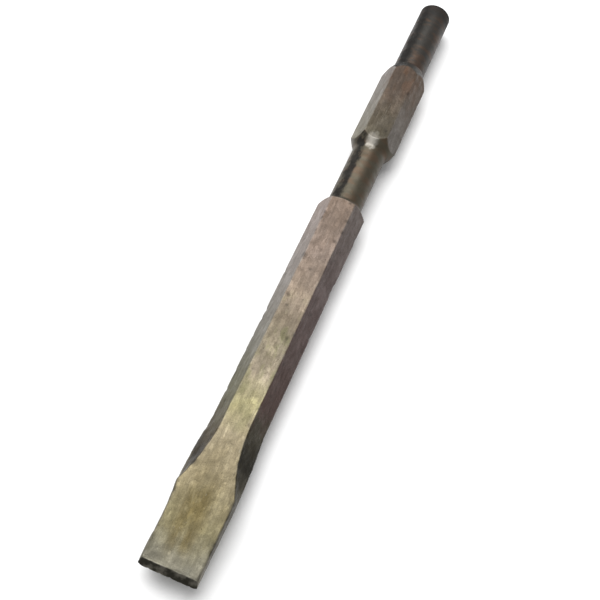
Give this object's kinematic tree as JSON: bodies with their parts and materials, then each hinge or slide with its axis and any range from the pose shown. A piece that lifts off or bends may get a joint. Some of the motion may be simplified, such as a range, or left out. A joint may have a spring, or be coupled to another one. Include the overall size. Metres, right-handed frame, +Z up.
{
  "type": "cold chisel",
  "caption": "Long power-hammer cold chisel: a hexagon steel bar forged to a flat wedge blade, with a turned neck, hexagonal drive collar and round shank.",
  "frame": {"origin": "on the surface that the chisel lies on, under the middle of its length and on its centre line", "axes": "+X along the bar from the cutting edge to the struck end; +Z up, square to the hexagon flat that it lies on and to the blade's flat faces; +Y across the blade's width"},
  "size_m": [0.3048, 0.0248, 0.0191],
  "materials": {
    "forged_steel": "dull forged and turned tool steel with a brown-grey oxide skin, darker on the turned neck and shank, worn brighter along the hexagon's edges"
  },
  "bodies": {
    "root": {"chisel": "forged_steel"}
  },
  "joints": []
}
